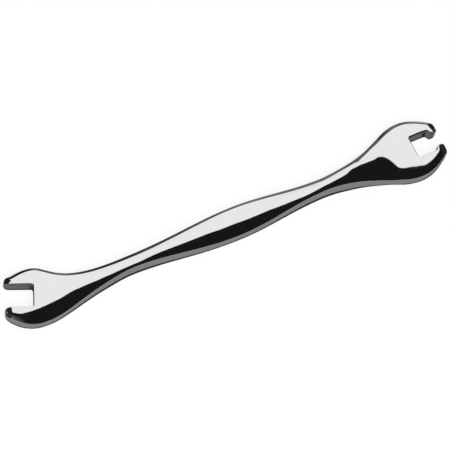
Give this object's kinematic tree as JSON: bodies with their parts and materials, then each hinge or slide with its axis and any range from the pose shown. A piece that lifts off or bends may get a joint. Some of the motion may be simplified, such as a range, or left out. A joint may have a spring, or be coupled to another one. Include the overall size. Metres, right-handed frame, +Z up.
{
  "type": "spoke wrench",
  "caption": "Slim forged spoke wrench with an open three-sided slot at one end and a four-sided pocket with a narrow mouth at the other.",
  "frame": {"origin": "middle of the tool's outline, at the height of the lowest points of its two necks, so the tool lies on z = 0", "axes": "+X along the handle from the slot end to the pocket end, +Y across it to the side that the slot turns to, +Z up through the thickness"},
  "size_m": [0.1258, 0.018, 0.0056],
  "materials": {
    "polished_chrome": "polished"
  },
  "bodies": {
    "root": {"forged_body": "polished_chrome"}
  },
  "joints": []
}
